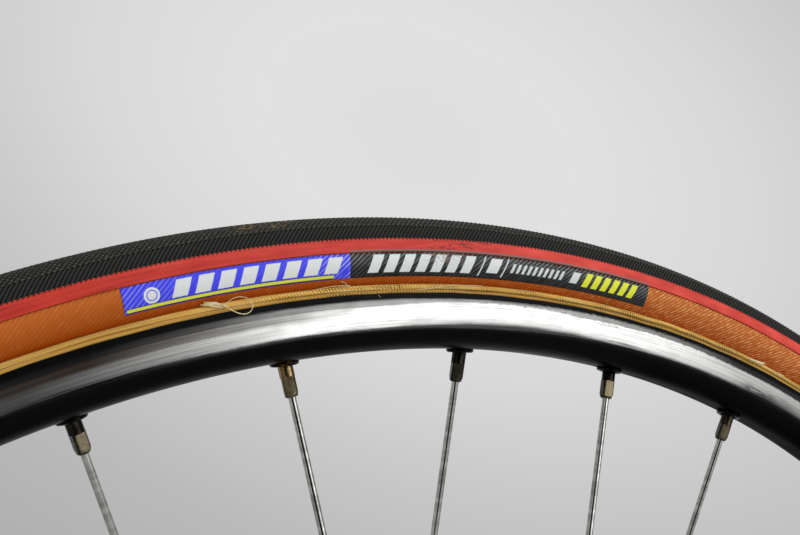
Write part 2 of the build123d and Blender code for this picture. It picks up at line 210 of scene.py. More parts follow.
def streaks(tree, first, second, first_mm, second_mm, detail=3.0):
    """Noise stretched over two lengths in millimetres, in wheel coordinates."""
    a = add(tree, "Math", {0: first, 1: 1 / first_mm}, operation="MULTIPLY")
    b = add(tree, "Math", {0: second, 1: 1 / second_mm}, operation="MULTIPLY")
    place = add(tree, "CombineXYZ", {0: a, 1: b})
    return add(tree, "TexNoise", {"Vector": place, "Scale": 1.0, "Detail": detail}).outputs[0]


def blotches(tree, size_mm, detail=3.0):
    """Noise with blotches of one size, fixed to the piece."""
    place = add(tree, "TexCoord").outputs["Object"]
    return add(tree, "TexNoise", {"Vector": place, "Scale": 1 / (size_mm * MM),
                                  "Detail": detail}).outputs[0]


def run_fuzz(tree, count, run):
    """The fine fibres that run along each cord."""
    return streaks(tree, count, run, 0.3, 3, 3)


def window(tree, value, low, high, soft):
    """1 between two values, with soft edges, and 0 outside."""
    rise = add(tree, "MapRange", {0: value, 1: low - soft, 2: low + soft},
               interpolation_type="SMOOTHSTEP")
    fall = add(tree, "MapRange", {0: value, 1: high - soft, 2: high + soft, 3: 1.0, 4: 0.0},
               interpolation_type="SMOOTHSTEP")
    return add(tree, "Math", {0: rise, 1: fall}, operation="MULTIPLY").outputs[0]


def round_mm(angle):
    """Millimetres round the crown for an angle round the wheel."""
    return math.radians(angle) * crown_radius


def round_level(tree, along, levels):
    """A level that changes round the wheel, from pairs of angle and level."""
    share = add(tree, "MapRange", {0: along, 1: round_mm(-180), 2: round_mm(180)})
    return add(tree, "ValToRGB", {0: share},
               stops=[((angle + 180) / 360, level) for angle, level in levels]).outputs[0]


def together(tree, *levels):
    """Several levels at once: full only where all of them are, and their product between."""
    result = levels[0]
    for level in levels[1:]:
        result = add(tree, "Math", {0: result, 1: level}, operation="MULTIPLY").outputs[0]
    return result


def layered(tree, ground, *layers):
    """Colours laid over a ground one by one, each as strongly as its level says."""
    for level, colour in layers:
        ground = add(tree, "Mix", {0: level, 6: ground, 7: colour}, data_type="RGBA").outputs[2]
    return ground


def surface(tree, colour, rough, more, *reliefs):
    """A finish's shader, with its other sockets, and with reliefs laid one on another. Each
    relief is its height, its strength and its depth in millimetres."""
    sockets = {"Base Color": colour, "Roughness": rough, **more}
    for height, strength, depth in reliefs:
        bump = {"Height": height, "Strength": strength, "Distance": depth * MM}
        if "Normal" in sockets:
            bump["Normal"] = sockets["Normal"]
        sockets["Normal"] = add(tree, "Bump", bump)
    return add(tree, "BsdfPrincipled", sockets)


def dashes(tree, along, across, ends, band, pitch, share):
    """A row of leaning dashes between two angles and two heights: 1 on a dash and 0 off it."""
    lean = 0.4
    middle = sum(band) / 2
    base = add(tree, "Math", {0: along, 1: lean * middle + round_mm(ends[0])}, operation="SUBTRACT")
    leaned = add(tree, "Math", {0: across, 1: lean, 2: base}, operation="MULTIPLY_ADD").outputs[0]
    part = add(tree, "Math", {0: leaned, 1: 1 / pitch}, operation="MULTIPLY")
    part = add(tree, "Math", {0: part}, operation="FRACT").outputs[0]
    bars = window(tree, part, 0.02, 0.02 + share, 0.1 / pitch)
    row = window(tree, leaned, 0.0, round_mm(ends[1]) - round_mm(ends[0]), 0.1)
    return together(tree, bars, row, window(tree, across, *band, 0.12))


# ---- Materials ----

def black_tread_rubber(tree):
    """Vulcanised natural rubber from a mould: near black in the grooves as painted shade, and grey
    on the rib tops, from road dust on the crown and from painted highlight, with a painted light
    line at the crown's edge."""
    along, across = wheel_place(tree)
    relief = add(tree, "Attribute", attribute_name="relief").outputs["Fac"]
    dust = blotches(tree, 7, 5)
    fine = blotches(tree, 0.45, 4)
    speck = add(tree, "MapRange", {0: fine, 1: 0.46, 2: 0.6})
    half = rubbed_half_width
    crown = window(tree, across, -half, half, 0.4)
    patchy = add(tree, "MapRange", {0: dust, 1: 0.3, 2: 0.7, 3: 0.35, 4: 1.0})
    # A painted highlight: a light line just outside the edge of the rubbed crown, mixed into the
    # crown's dust.
    crown_edge_highlight = add(tree, "Math", {0: window(tree, across, -half - 0.35, half + 0.35, 0.1),
                                   1: window(tree, across, -half, half, 0.15)},
                    operation="SUBTRACT", use_clamp=True)
    crown_dust_and_highlight = add(tree, "Math", {0: crown_edge_highlight, 1: 0.5, 2: together(tree, speck, crown, patchy)},
                     operation="MULTIPLY_ADD", use_clamp=True)
    crossing, _ = slanted(tree, along, across, -rib_slant, file_pitch * 0.76)
    filed = add(tree, "Mix", {0: crown, 2: 1.0, 3: crests(tree, crossing)},
                data_type="FLOAT").outputs[0]
    # Painted shade and highlight: the relief level keeps the grooves near black, and on the crown
    # the file marks between crests too, and lets the rib tops take a lighter grey.
    relief = together(tree, relief, add(tree, "MapRange", {0: filed, 3: 0.2, 4: 1.0}))
    # The rib tops' grey: road dust on the crown, and painted highlight on every rib top.
    rubbed = layered(tree, "#32322f", (crown_dust_and_highlight, "#6a6a5c"))
    spots = add(tree, "MapRange", {0: blotches(tree, 1.3, 5), 1: 0.5, 2: 0.66})
    mud = together(tree, window(tree, along, round_mm(-9.7), round_mm(-7.0), 4),
                   window(tree, across, 1.5, 6.5, 1.2), spots)
    colour = layered(tree, "#090909", (relief, rubbed), (mud, "#75633f"))
    rough = add(tree, "MapRange", {0: dust, 3: 0.55, 4: 0.8})
    return surface(tree, colour, rough, {"Specular IOR Level": 0.16}, (fine, 0.5, 0.15),
                   (filed, 0.7, 0.2))


def red_shoulder_rubber(tree):
    """Coloured rubber strip, moulded on: matt red with grey scuffs and a faint dull mottle, with a
    painted sheen of paler red streaks, strong to the right, and a painted grey highlight where the
    label's film laps its edge.
    """
    along, across = wheel_place(tree)
    tone = add(tree, "ValToRGB", {0: streaks(tree, along, across, 12, 0.9, 5)},
               stops=[(0.3, "#b02616"), (0.5, "#c42e1e"), (0.7, "#d23a2a")])
    # A painted sheen: paler red streaks, strong round to the right and faint to the left.
    sheen_streaks = add(tree, "MapRange", {0: streaks(tree, along, across, 9, 3.0, 4), 1: 0.4, 2: 0.7,
                                   3: 0.35})
    sheen_level = round_level(tree, along, [(-180, 0.4), (-24, 0.0), (-16, 0.1), (-8, 0.4), (2, 0.5),
                                      (6, 0.9), (26, 0.8), (180, 0.4)])
    scuff = add(tree, "Math", {0: streaks(tree, along, across, 2.4, 0.7, 6),
                               1: streaks(tree, along, across, 60, 9)}, operation="ADD")
    rubbed = round_level(tree, along, [(-180, 0.25), (-4, 0.25), (-1, 0.34), (2, 0.34),
                                       (4, 0.1), (40, 0.0), (180, 0.25)])
    scuff = add(tree, "Math", {0: scuff, 1: rubbed}, operation="ADD")
    scuffed = add(tree, "MapRange", {0: scuff, 1: 1.42, 2: 1.58, 4: 0.8})
    # The label's film where it laps over the band's lower edge, painted as a grey highlight line.
    lap_edge_highlight = together(tree, window(tree, across, 15.45, 16.5, 0.12),
                        window(tree, along, round_mm(blue_end), round_mm(label_ends[1]), 0.2))
    colour = layered(tree, tone, (together(tree, sheen_streaks, sheen_level), "#f4564a"), (scuffed, "#4a2420"),
                     (together(tree, lap_edge_highlight, 0.9), "#7c706e"))
    return surface(tree, colour, 0.5, {"Specular IOR Level": 0.28},
                   (blotches(tree, 0.8, 5), 0.3, 0.1))


def skin_cotton_casing(tree):
    """Cotton cords laid on the slant and sealed in latex: amber, darker towards the tape as painted
    shade, with pale painted highlights on the cord crests, strongest near the top and to the right.
    """
    along, across = wheel_place(tree)
    count, run = slanted(tree, along, across, cord_slant, cord_pitch)
    crest = crests(tree, count)
    # Painted shade: the amber darkens towards the tape.
    shade = add(tree, "MapRange", {0: across, 1: 16.5, 2: 24.5})
    tone = add(tree, "ValToRGB", {0: shade}, stops=[(0.0, "#cc6a22"), (0.4, "#c06014"),
                                                    (1.0, "#ac4900")])
    # Painted highlights: pale flecks on the cord crests, stronger near the top and round to the
    # right.
    line = add(tree, "Math", {0: crest, 1: 2.0}, operation="POWER")
    highlight_flecks = streaks(tree, count, run, 0.9, 2.2, 5)
    lit = add(tree, "MapRange", {0: highlight_flecks, 1: 0.42, 2: 0.64, 3: 0.08, 4: 1.15})
    high = add(tree, "MapRange", {0: across, 1: 17.0, 2: 23.5, 3: 1.0, 4: 0.6})
    much = round_level(tree, along, [(-180, 0.7), (-40, 0.5), (-18, 0.14), (-8, 0.25),
                                     (5, 0.4), (12, 1.1), (24, 1.35), (60, 0.7), (180, 0.7)])
    colour = layered(tree, tone, (together(tree, lit, line, high, much), "#f4b271"))
    return surface(tree, colour, 0.4, {"Specular IOR Level": 0.16},
                   (run_fuzz(tree, count, run), 0.6, 0.08))


def printed_label_film(tree):
    """A printed transfer, ironed on: a thin glossy skin that shows the cords under it, with painted
    highlights on the cord crests. It is blue and then black, with a plain ring, rows of dashes, a
    yellow-green line and a few scuffs."""
    along, across = wheel_place(tree)
    count, run = slanted(tree, along, across, cord_slant, cord_pitch)
    crest = crests(tree, count)
    blue = add(tree, "Math", {0: along, 1: round_mm(blue_end)}, operation="LESS_THAN")
    # Painted highlights on the cord crests: grey on the black, strongest near the top, and pale
    # blue near both ends of the blue.
    rubbed = streaks(tree, count, run, 0.7, 5, 4)
    rubbed = add(tree, "MapRange", {0: rubbed, 1: 0.34, 2: 0.54})
    rubbed = together(tree, rubbed, add(tree, "Math", {0: crest, 1: 4.5}, operation="POWER"))
    upper = add(tree, "MapRange", {0: across, 1: 16.5, 2: 20.5, 3: 0.8, 4: 0.2})
    ends = round_level(tree, along, [(-16, 0.7), (-13.5, 0.5), (-12, 0.1), (-6.5, 0.1),
                                     (-5.6, 1.0), (-4.9, 1.2)])
    grey = layered(tree, "#0b0d11", (together(tree, rubbed, upper), "#a2a4a4"))
    pale = layered(tree, "#4145ff", (together(tree, rubbed, ends), "#c3c8f4"))
    scuff = add(tree, "MapRange", {0: streaks(tree, along, across, 1.2, 0.8, 5), 1: 0.44, 2: 0.6})
    scuff = together(tree, scuff, window(tree, along, round_mm(-0.9), round_mm(0.9), 5),
                     add(tree, "MapRange", {0: across, 1: 19.5, 2: 17.5}))
    layers = [(blue, pale), (together(tree, scuff, 0.5), "#86847c")]
    prints = [("#f0f4f4", (-12.9, -5.1), (16.5, 20.7), 5.73, 0.68),
              ("#f0f4f4", (-3.9, 1.75), (16.3, 21.1), 4.78, 0.66),
              ("#e4e8e8", (1.98, 3.6), (16.2, 21.6), 7.75, 0.06),
              ("#f0f4f4", (2.4, 3.1), (16.5, 20.6), 9.0, 0.42),
              ("#e4e8e8", (3.75, 7.0), (17.4, 20.0), 1.91, 0.52),
              ("#e8ecec", (7.35, 7.95), (17.0, 20.3), 9.0, 0.3),
              ("#f2f834", (8.2, 11.65), (16.6, 20.8), 3.47, 0.64)]
    for colour, angles, band, pitch, share in prints:
        layers.append((dashes(tree, along, across, angles, band, pitch, share), colour))
    centre = (round_mm(ring_mark[0]), ring_mark[1], 0)
    away = add(tree, "CombineXYZ", {0: along, 1: across})
    away = add(tree, "VectorMath", {0: away, 1: centre}, operation="DISTANCE").outputs[1]
    gap = add(tree, "MapRange", {0: window(tree, away, 1.1, 1.35, 0.08), 3: 1.0, 4: 0.0})
    layers.append((together(tree, window(tree, away, -1.0, 1.95, 0.08), gap), "#f0f4f4"))
    line_place = window(tree, along, round_mm(-14.9), round_mm(-5.7), 0.1)
    for colour, band in (("#20246e", (20.95, 22.25)), ("#eef455", (21.15, 21.95))):
        layers.append((together(tree, window(tree, across, *band, 0.08), line_place), colour))
    layers.append((together(tree, scuff, 0.45), "#8c7264"))
    return surface(tree, layered(tree, grey, *layers), 0.3, {"Specular IOR Level": 0.3},
                   (run_fuzz(tree, count, run), 0.5, 0.05))


def cotton_base_tape(tree):
    """Woven cotton tape, glued down: ochre, with a thick corded edge, a thin edge under it, open
    stitches along the top and grime between. Painted shade darkens the thin edge, the tape's left
    end, the weave's valleys, the crease between the edges and the thin edge's lower side."""
    along, across = wheel_place(tree)
    count, _ = slanted(tree, along, across, twill_slant, twill_pitch)
    wander = add(tree, "MapRange", {0: streaks(tree, along, across, 3.2, 6, 3), 3: -0.9, 4: 0.9})
    crest = crests(tree, add(tree, "Math", {0: count, 1: wander}, operation="ADD").outputs[0])
    grime = streaks(tree, along, across, 13, 0.5, 5)
    tone = add(tree, "ValToRGB", {0: grime}, stops=[(0.3, "#dca646"), (0.5, "#fccb6a"),
                                                    (0.68, "#ffe49c")])
    # Painted shade: the thin edge under the thick one darkens, and so does the tape towards its
    # left end.
    thin = together(tree, window(tree, across, 9.6, 11.55, 0.1), 0.7)
    dull = round_level(tree, along, [(-180, 0.3), (-60, 0.3), (-18, 0.6), (-15, 0.55), (-12, 0.2),
                                     (-8, 0.0), (20, 0.0), (60, 0.3), (180, 0.3)])
    dull = add(tree, "Math", {0: thin, 1: dull}, operation="MAXIMUM")
    strand = add(tree, "MapRange", {0: streaks(tree, along, across, 26, 0.22, 3), 1: 0.36, 2: 0.5,
                                    3: 0.55, 4: 0.0})
    weak = add(tree, "MapRange", {0: streaks(tree, along, across, 9, 2.4, 4), 1: 0.4, 2: 0.6,
                                  3: 1.0, 4: 0.25})
    toothed = round_level(tree, along, [(-180, 0.6), (-40, 0.3), (-12, 0.08), (-9, 0.35),
                                        (-6, 0.85), (-4, 0.7), (5, 0.7), (180, 0.6)])
    # Painted shade in the weave's valleys.
    valley = add(tree, "Math", {0: 1.0, 1: crest}, operation="SUBTRACT")
    valley = add(tree, "MapRange", {0: valley, 1: 0.3, 2: 0.8})
    crease_shade_level = round_level(tree, along, [(-180, 0.6), (-12, 0.15), (-8, 0.5), (-2, 0.2), (1, 0.85),
                                       (180, 0.6)])
    # Painted shade: a dark line in the crease between the thick and the thin edge.
    crease_shade = together(tree, window(tree, across, 11.35, 12.1, 0.2), crease_shade_level, 0.9)
    # Painted shadow along the lower side of the thin edge.
    under = add(tree, "MapRange", {0: across, 1: 10.0, 2: 10.75, 3: 0.8, 4: 0.0})
    stitch = add(tree, "Math", {0: along, 1: 1 / stitch_pitch}, operation="MULTIPLY")
    stitch = add(tree, "Math", {0: stitch}, operation="FRACT").outputs[0]
    much = round_level(tree, along, [(-180, 0.3), (-9, 0.25), (-6.5, 0.9), (-2.4, 0.9),
                                     (-2.2, 0.75), (12, 0.8), (180, 0.3)])
    stitch = together(tree, window(tree, stitch, 0.3, 0.62, 0.1),
                      window(tree, across, 12.95, 13.22, 0.08), much)
    seam = add(tree, "Math", {0: across, 1: 0.35, 2: along}, operation="MULTIPLY_ADD").outputs[0]
    seam = together(tree, window(tree, seam, round_mm(seam_angle) + 4.1,
                                 round_mm(seam_angle) + 4.4, 0.12),
                    window(tree, across, 12.3, 13.6, 0.2))
    colour = layered(tree, tone, (dull, "#b88a3c"), (strand, "#a8752a"),
                     (together(tree, weak, toothed, valley), "#4c2e08"), (crease_shade, "#5d3c10"),
                     (under, "#3a280c"), (stitch, "#39260c"), (seam, "#2a1a08"))
    return surface(tree, colour, 0.8, {"Specular IOR Level": 0.2},
                   (together(tree, crest, toothed), 0.8, 0.16), (strand, 0.6, -0.1))


def loose_cotton_thread(tree):
    """Fibres pulled out of the tape: undyed spun cotton, pale and dull, and soft at their edges."""
    tone = add(tree, "ValToRGB", {0: blotches(tree, 0.9, 4)},
               stops=[(0.35, "#cfb67e"), (0.6, "#eedfb6")])
    return surface(tree, tone, 0.85, {"Specular IOR Level": 0.2},
                   (blotches(tree, 0.25, 3), 0.5, 0.05))


def dark_anodised_rim(tree):
    """Rolled aluminium, anodised dark and worn to bright metal where the brake pads rub. The wear
    has three strips with ragged edges, streaks along the rub, and a stretch that pads missed."""
    place = add(tree, "SeparateXYZ", {0: add(tree, "UVMap", uv_map="place")})
    # Here the map holds the radius, and the wall runs from 306.9 at its foot to 315.3 at the lip.
    along, radius = place.outputs[0], place.outputs[1]
    ragged = add(tree, "MapRange", {0: streaks(tree, along, radius, 9, 0.7, 6), 3: -0.22, 4: 0.22})
    chips = add(tree, "MapRange", {0: streaks(tree, along, radius, 1.6, 0.6, 4), 3: -0.4, 4: 0.4})
    chipped = round_level(tree, along, [(-180, 0.8), (-2, 0.3), (4, 0.4), (7, 1.2), (180, 0.8)])
    shift = add(tree, "Math", {0: chips, 1: chipped, 2: ragged}, operation="MULTIPLY_ADD")
    moved = add(tree, "Math", {0: radius, 1: shift}, operation="ADD")
    rise = round_level(tree, along, [(-180, 0.8), (-6, 0.93), (-3, 0.9), (0, 0.28), (4, 0.1),
                                     (6, 0.3), (8, 0.82), (11, 0.88), (14, 0.62), (17, 0.75),
                                     (20, 1.0), (180, 0.8)])
    lifted = add(tree, "Math", {0: moved, 1: rise}, operation="ADD")
    strip = round_level(tree, along, [(-180, 0.5), (-60, 0.5), (-40, 0.1), (-17, 0.01),
                                      (-12, 0.09), (-8, 0.3), (-3, 0.4), (3, 0.5), (9, 0.4),
                                      (15, 0.25), (20, 0.03), (60, 0.1), (100, 0.5), (180, 0.5)])
    middle = round_level(tree, along, [(-180, 1.0), (-60, 0.9), (-40, 0.2), (-17, 0.03),
                                       (-12, 0.22), (-8, 0.5), (-4, 0.95), (15, 1.0),
                                       (20, 0.7), (60, 0.8), (100, 1.0), (180, 1.0)])
    lower = round_level(tree, along, [(-180, 1.0), (-60, 0.9), (-40, 0.4), (-19, 0.16),
                                      (-17, 0.31), (-12, 0.68), (-8, 1.0), (15, 1.0),
                                      (20, 0.75), (22, 0.6), (26, 0.6), (60, 0.8),
                                      (100, 1.0), (180, 1.0)])
    top = add(tree, "MapRange", {0: moved, 1: 313.8, 2: 314.5, 3: 1.0, 4: 0.0})
    worn = together(tree, strip, top)
    for level, fade_low, fade_high in ((middle, 313.4, 313.8), (lower, 311.2, 312.3)):
        inside = add(tree, "MapRange", {0: lifted, 1: fade_low, 2: fade_high, 3: 1.0, 4: 0.0})
        worn = add(tree, "Mix", {0: inside, 2: worn, 3: level}, data_type="FLOAT").outputs[0]
    bands = streaks(tree, along, radius, 42, 0.4, 5)
    bank = round_level(tree, along, [(-180, 0.4), (-17, 0.5), (-12, 0.05), (-3, 0.0),
                                     (3, 0.5), (9, 0.45), (24, 0.3), (180, 0.4)])
    dip = add(tree, "Math", {0: add(tree, "MapRange", {0: bands, 1: 0.35, 2: 0.65, 4: -2.0}),
                             1: bank, 2: radius}, operation="MULTIPLY_ADD")
    dip = add(tree, "Math", {0: ragged, 1: 1.5, 2: dip}, operation="MULTIPLY_ADD")
    dip = add(tree, "Math", {0: chips, 1: 0.3, 2: dip}, operation="MULTIPLY_ADD")
    low = add(tree, "MapRange", {0: dip, 1: 306.75, 2: 307.75}, interpolation_type="SMOOTHSTEP")
    thin = round_level(tree, along, [(-180, 0.3), (-17, 0.4), (-8, 0.0), (-3, 0.3), (0, 0.62),
                                     (2, 0.78), (4, 0.92), (6, 0.9), (8, 0.45), (12, 0.25),
                                     (20, 0.25), (22, 0.95), (24, 0.95), (30, 0.3), (180, 0.3)])
    thin = together(tree, thin,
                    add(tree, "MapRange", {0: radius, 1: 307.8, 2: 309.9, 3: 1.0, 4: 0.0}),
                    add(tree, "MapRange", {0: bands, 1: 0.3, 2: 0.6, 3: 1.0, 4: 0.8}))
    whole = add(tree, "Math", {0: 1.0, 1: thin}, operation="SUBTRACT")
    streaky = add(tree, "MapRange", {0: bands, 1: 0.32, 2: 0.55, 3: 0.6, 4: 1.0})
    cut = add(tree, "MapRange", {0: streaks(tree, along, radius, 7, 0.25, 3), 1: 0.5, 2: 0.56})
    cut = together(tree, cut, window(tree, along, round_mm(20.6), round_mm(23.4), 3),
                   window(tree, radius, 307.9, 309.6, 0.4))
    step = round_level(tree, along, [(0, 313.7 / 400), (6, 313.4 / 400), (11, 312.2 / 400)])
    step = add(tree, "Math", {0: step, 1: -400, 2: radius}, operation="MULTIPLY_ADD").outputs[0]
    nick = add(tree, "MapRange", {0: streaks(tree, along, radius, 2.2, 0.2, 3), 1: 0.56, 2: 0.62})
    nick = together(tree, nick, window(tree, along, round_mm(0.9), round_mm(11.0), 2),
                    window(tree, step, -0.25, 0.25, 0.12))
    cut = add(tree, "Math", {0: cut, 1: nick}, operation="MAXIMUM").outputs[0]
    uncut = add(tree, "Math", {0: 1.0, 1: cut}, operation="SUBTRACT")
    worn = together(tree, worn, low, whole, streaky, uncut)
    shoulder = round_level(tree, along, [(-180, 0.5), (-15, 0.3), (-12, 1.0), (14, 1.0),
                                         (17, 0.3), (180, 0.5)])
    shoulder = together(tree, shoulder, window(tree, dip, 306.65, 308.2, 0.5), 0.06)
    worn = add(tree, "Math", {0: worn, 1: shoulder}, operation="MAXIMUM")
    lines = streaks(tree, along, radius, 60, 0.3, 4)
    bright = add(tree, "ValToRGB", {0: lines}, stops=[(0.3, "#cfcecc"), (0.7, "#e7e7e5")])
    stain = together(tree, window(tree, along, round_mm(-22), round_mm(-10), 12),
                     window(tree, moved, 310.6, 313.0, 0.6))
    colour = layered(tree, "#131314", (stain, "#2c2117"), (worn, bright))
    gloss = round_level(tree, along, [(-180, 0.5), (-40, 0.8), (3, 0.8), (8, 0.7), (14, 0.5),
                                      (180, 0.5)])
    edge = add(tree, "MapRange", {0: worn, 2: 0.5, 3: gloss, 4: 1.0}).outputs[0]
    haze = add(tree, "Math", {0: lines, 1: streaks(tree, along, radius, 7, 2.4, 4)},
               operation="ADD")
    rough = add(tree, "MapRange", {0: haze, 1: 0.7, 2: 1.3, 3: 0.18, 4: 0.42})
    rough = add(tree, "Mix", {0: edge, 2: 0.45, 3: rough}, data_type="FLOAT").outputs[0]
    return surface(tree, colour, rough, {"Metallic": 1.0, "Specular Tint": edge},
                   (lines, 0.12, 0.05))


def spoke_number(tree, seed, spread):
    """A level from 0 to 1 that is the same all over one spoke's eyelet, and scattered from one
    spoke to the next."""
    place = add(tree, "SeparateXYZ", {0: add(tree, "TexCoord").outputs["Object"]}).outputs
    turn = add(tree, "Math", {0: place[0], 1: place[2]}, operation="ARCTAN2")
    shift = 0.5 - first_spoke / spoke_step
    count = add(tree, "Math", {0: turn, 1: spoke_count / 2 / math.pi, 2: shift},
                operation="MULTIPLY_ADD")
    count = add(tree, "Math", {0: count}, operation="FLOOR")
    for scale, operation in ((seed, "SINE"), (spread, "FRACT")):
        count = add(tree, "Math", {0: count, 1: scale}, operation="MULTIPLY")
        count = add(tree, "Math", {0: count}, operation=operation)
    return count.outputs[0]


def black_eyelets(tree):
    """Pressed brass ferrules, plated black: glossy, with bare rusty brass on some."""
    bare = window(tree, spoke_number(tree, *eyelet_draw), 0.66, 0.72, 0.01)
    patch = add(tree, "MapRange", {0: blotches(tree, 2.5, 4), 1: 0.42, 2: 0.6})
    tone = layered(tree, "#131312", (together(tree, patch, bare), "#7c4e2a"))
    rough = add(tree, "MapRange", {0: blotches(tree, 1.5, 4), 3: 0.12, 4: 0.34})
    return surface(tree, tone, rough, {"Metallic": 1.0})


def nickel_brass_nipples(tree):
    """Turned brass with old nickel plate: brown-black tarnish, brass where it has rubbed off, and
    a pale dry crust on some of the wrench flats."""
    flat = add(tree, "Attribute", attribute_name="crust").outputs["Fac"]
    bare = add(tree, "Attribute", attribute_name="brass").outputs["Fac"]
    place = add(tree, "SeparateXYZ", {0: add(tree, "UVMap", uv_map="place")}).outputs
    turned = add(tree, "MapRange", {0: streaks(tree, place[0], place[1], 30, 0.35, 3), 1: 0.35,
                                    2: 0.65})
    tone = add(tree, "ValToRGB", {0: blotches(tree, 1.6, 5)},
               stops=[(0.4, "#1b1a17"), (0.6, "#2f2c27"), (0.75, "#4f4a41")])
    brass = add(tree, "MapRange", {0: blotches(tree, 2.4, 4), 1: 0.3, 2: 0.55, 3: 0.4, 4: 1.0})
    upper = add(tree, "MapRange", {0: place[1], 1: nipple_collar - 0.3, 2: nipple_collar, 3: 0.3})
    crust = add(tree, "MapRange", {0: blotches(tree, 1.1, 5), 1: 0.3, 2: 0.5, 3: 0.45, 4: 1.0})
    crust = together(tree, crust, flat)
    colour = layered(tree, tone, (together(tree, brass, upper, bare), "#a08a60"),
                     (crust, "#c2b28c"))
    metal = add(tree, "MapRange", {0: crust, 3: 1.0, 4: 0.1})
    rough = add(tree, "MapRange", {0: crust, 3: 0.2, 4: 0.75})
    return surface(tree, colour, rough, {"Metallic": metal}, (turned, 0.25, 0.08),
                   (blotches(tree, 0.5, 4), 0.4, 0.1))


def turning(tree, size_mm):
    """Lathe lines round the axle: even round it, quick to change along it and outwards."""
    place = add(tree, "TexCoord").outputs["Object"]
    reach = add(tree, "VectorMath", {0: place, 1: (1, 0, 1)}, operation="MULTIPLY")
    reach = add(tree, "VectorMath", {0: reach}, operation="LENGTH").outputs[1]
    out = add(tree, "SeparateXYZ", {0: place}).outputs[1]
    lines = streaks(tree, reach, out, size_mm * MM, size_mm * MM, 3)
    return add(tree, "MapRange", {0: lines, 1: 0.3, 2: 0.7})


def worn_metal(tree, dark, light, smooth, rough, patch_mm, line_mm=0.35, grime=0.35):
    """A turned metal: patchy in tone, with lathe lines and thin brown grime in places."""
    lines = turning(tree, line_mm)
    tone = add(tree, "ValToRGB", {0: blotches(tree, patch_mm, 4)},
               stops=[(0.3, dark), (0.7, light)])
    dirt = add(tree, "MapRange", {0: blotches(tree, 2.5 * patch_mm, 6), 1: 0.52, 2: 0.72})
    dirt = together(tree, dirt, grime)
    satin = add(tree, "MapRange", {0: lines, 3: smooth, 4: rough})
    satin = add(tree, "Math", {0: dirt, 1: 0.4, 2: satin}, operation="MULTIPLY_ADD")
    return surface(tree, layered(tree, tone, (dirt, "#4d453a")), satin, {"Metallic": 1.0},
                   (lines, 0.3, 0.04))


def stainless_spokes(tree):
    """Cold-drawn stainless wire: bright and smooth, with faint dull films along it."""
    place = add(tree, "TexCoord").outputs["Object"]
    reach = add(tree, "VectorMath", {0: place}, operation="LENGTH").outputs[1]
    film = streaks(tree, reach, reach, 9 * MM, 2 * MM, 4)
    tone = add(tree, "ValToRGB", {0: film}, stops=[(0.35, "#9a9995"), (0.7, "#d2d1cd")])
    rough = add(tree, "MapRange", {0: film, 1: 0.3, 2: 0.7, 3: 0.2, 4: 0.08})
    return surface(tree, tone, rough, {"Metallic": 1.0})


def polished_hub_alloy(tree):
    """Forged and machined aluminium, buffed: near mirror, with soft lathe lines and road film."""
    return worn_metal(tree, "#c4c5c7", "#dcdddd", 0.12, 0.3, 6)


def plated_bearing_steel(tree):
    """Turned steel with nickel plate: grey and satin, with fine lathe lines."""
    return worn_metal(tree, "#8d8d8c", "#b5b4b1", 0.2, 0.38, 3, 0.25)


def dark_axle_steel(tree):
    """Oiled heat-treated steel: dark grey with a brown cast."""
    return worn_metal(tree, "#4a4947", "#6c6a67", 0.28, 0.42, 4, 0.3, 0.6)


def spring_steel(tree):
    """Zinc-plated spring wire: pale grey, with dull and faintly yellow patches."""
    patch = blotches(tree, 2, 4)
    tone = add(tree, "ValToRGB", {0: patch}, stops=[(0.3, "#8a8b8d"), (0.7, "#aaa99f")])
    rough = add(tree, "MapRange", {0: patch, 3: 0.22, 4: 0.45})
    return surface(tree, tone, rough, {"Metallic": 1.0})


def chromed_pivot(tree):
    """Polished steel with chrome plate: a clear mirror with fine haze."""
    haze = blotches(tree, 1.2, 5)
    tone = add(tree, "ValToRGB", {0: haze}, stops=[(0.3, "#cfd0d2"), (0.7, "#dfe0e1")])
    rough = add(tree, "MapRange", {0: haze, 3: 0.05, 4: 0.18})
    return surface(tree, tone, rough, {"Metallic": 1.0})


def nickel_valve(tree):
    """Turned brass with nickel plate: warm silver, dull where the plate has thinned, with fine
    screw lines along the stem."""
    patch = blotches(tree, 2, 4)
    tone = add(tree, "ValToRGB", {0: patch}, stops=[(0.3, "#a89c80"), (0.55, "#c4bda9"),
                                                    (0.7, "#cfc9b9")])
    rough = add(tree, "MapRange", {0: patch, 3: 0.4, 4: 0.16})
    reach = add(tree, "TexCoord").outputs["Object"]
    reach = add(tree, "VectorMath", {0: reach}, operation="LENGTH").outputs[1]
    turns = add(tree, "Math", {0: reach, 1: 1 / (valve_pitch * MM)}, operation="MULTIPLY")
    return surface(tree, tone, rough, {"Metallic": 1.0}, (crests(tree, turns), 0.35, 0.15))


FINISHES = [black_tread_rubber, red_shoulder_rubber, skin_cotton_casing, cotton_base_tape,
            loose_cotton_thread, dark_anodised_rim, black_eyelets, nickel_brass_nipples,
            stainless_spokes, polished_hub_alloy, plated_bearing_steel, dark_axle_steel,
            spring_steel, chromed_pivot, nickel_valve]
finishes = {build.__name__: finish(build.__name__ + "_finish", build) for build in FINISHES}
for part in frame["record"]["subparts"]:
    for place in frame["nodes"][part["node"]].material_slots:
        place.material = finishes[part["material_slot"]]


def placed(name, data):
    """A new piece from its mesh or curve, which turns with the wheel and keeps the finish that its
    data carries.
    """
    piece = bpy.data.objects.new(name, data)
    bpy.context.scene.collection.objects.link(piece)
    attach(piece, "wheel")
    return piece


# ---- Ring meshes ----

def section_point(angle, section, centre=tread_centre):
    """Radius and distance along the axle of a point on the tyre's section."""
    turn = np.radians(angle)
    return centre + section * np.cos(turn), -section * np.sin(turn)


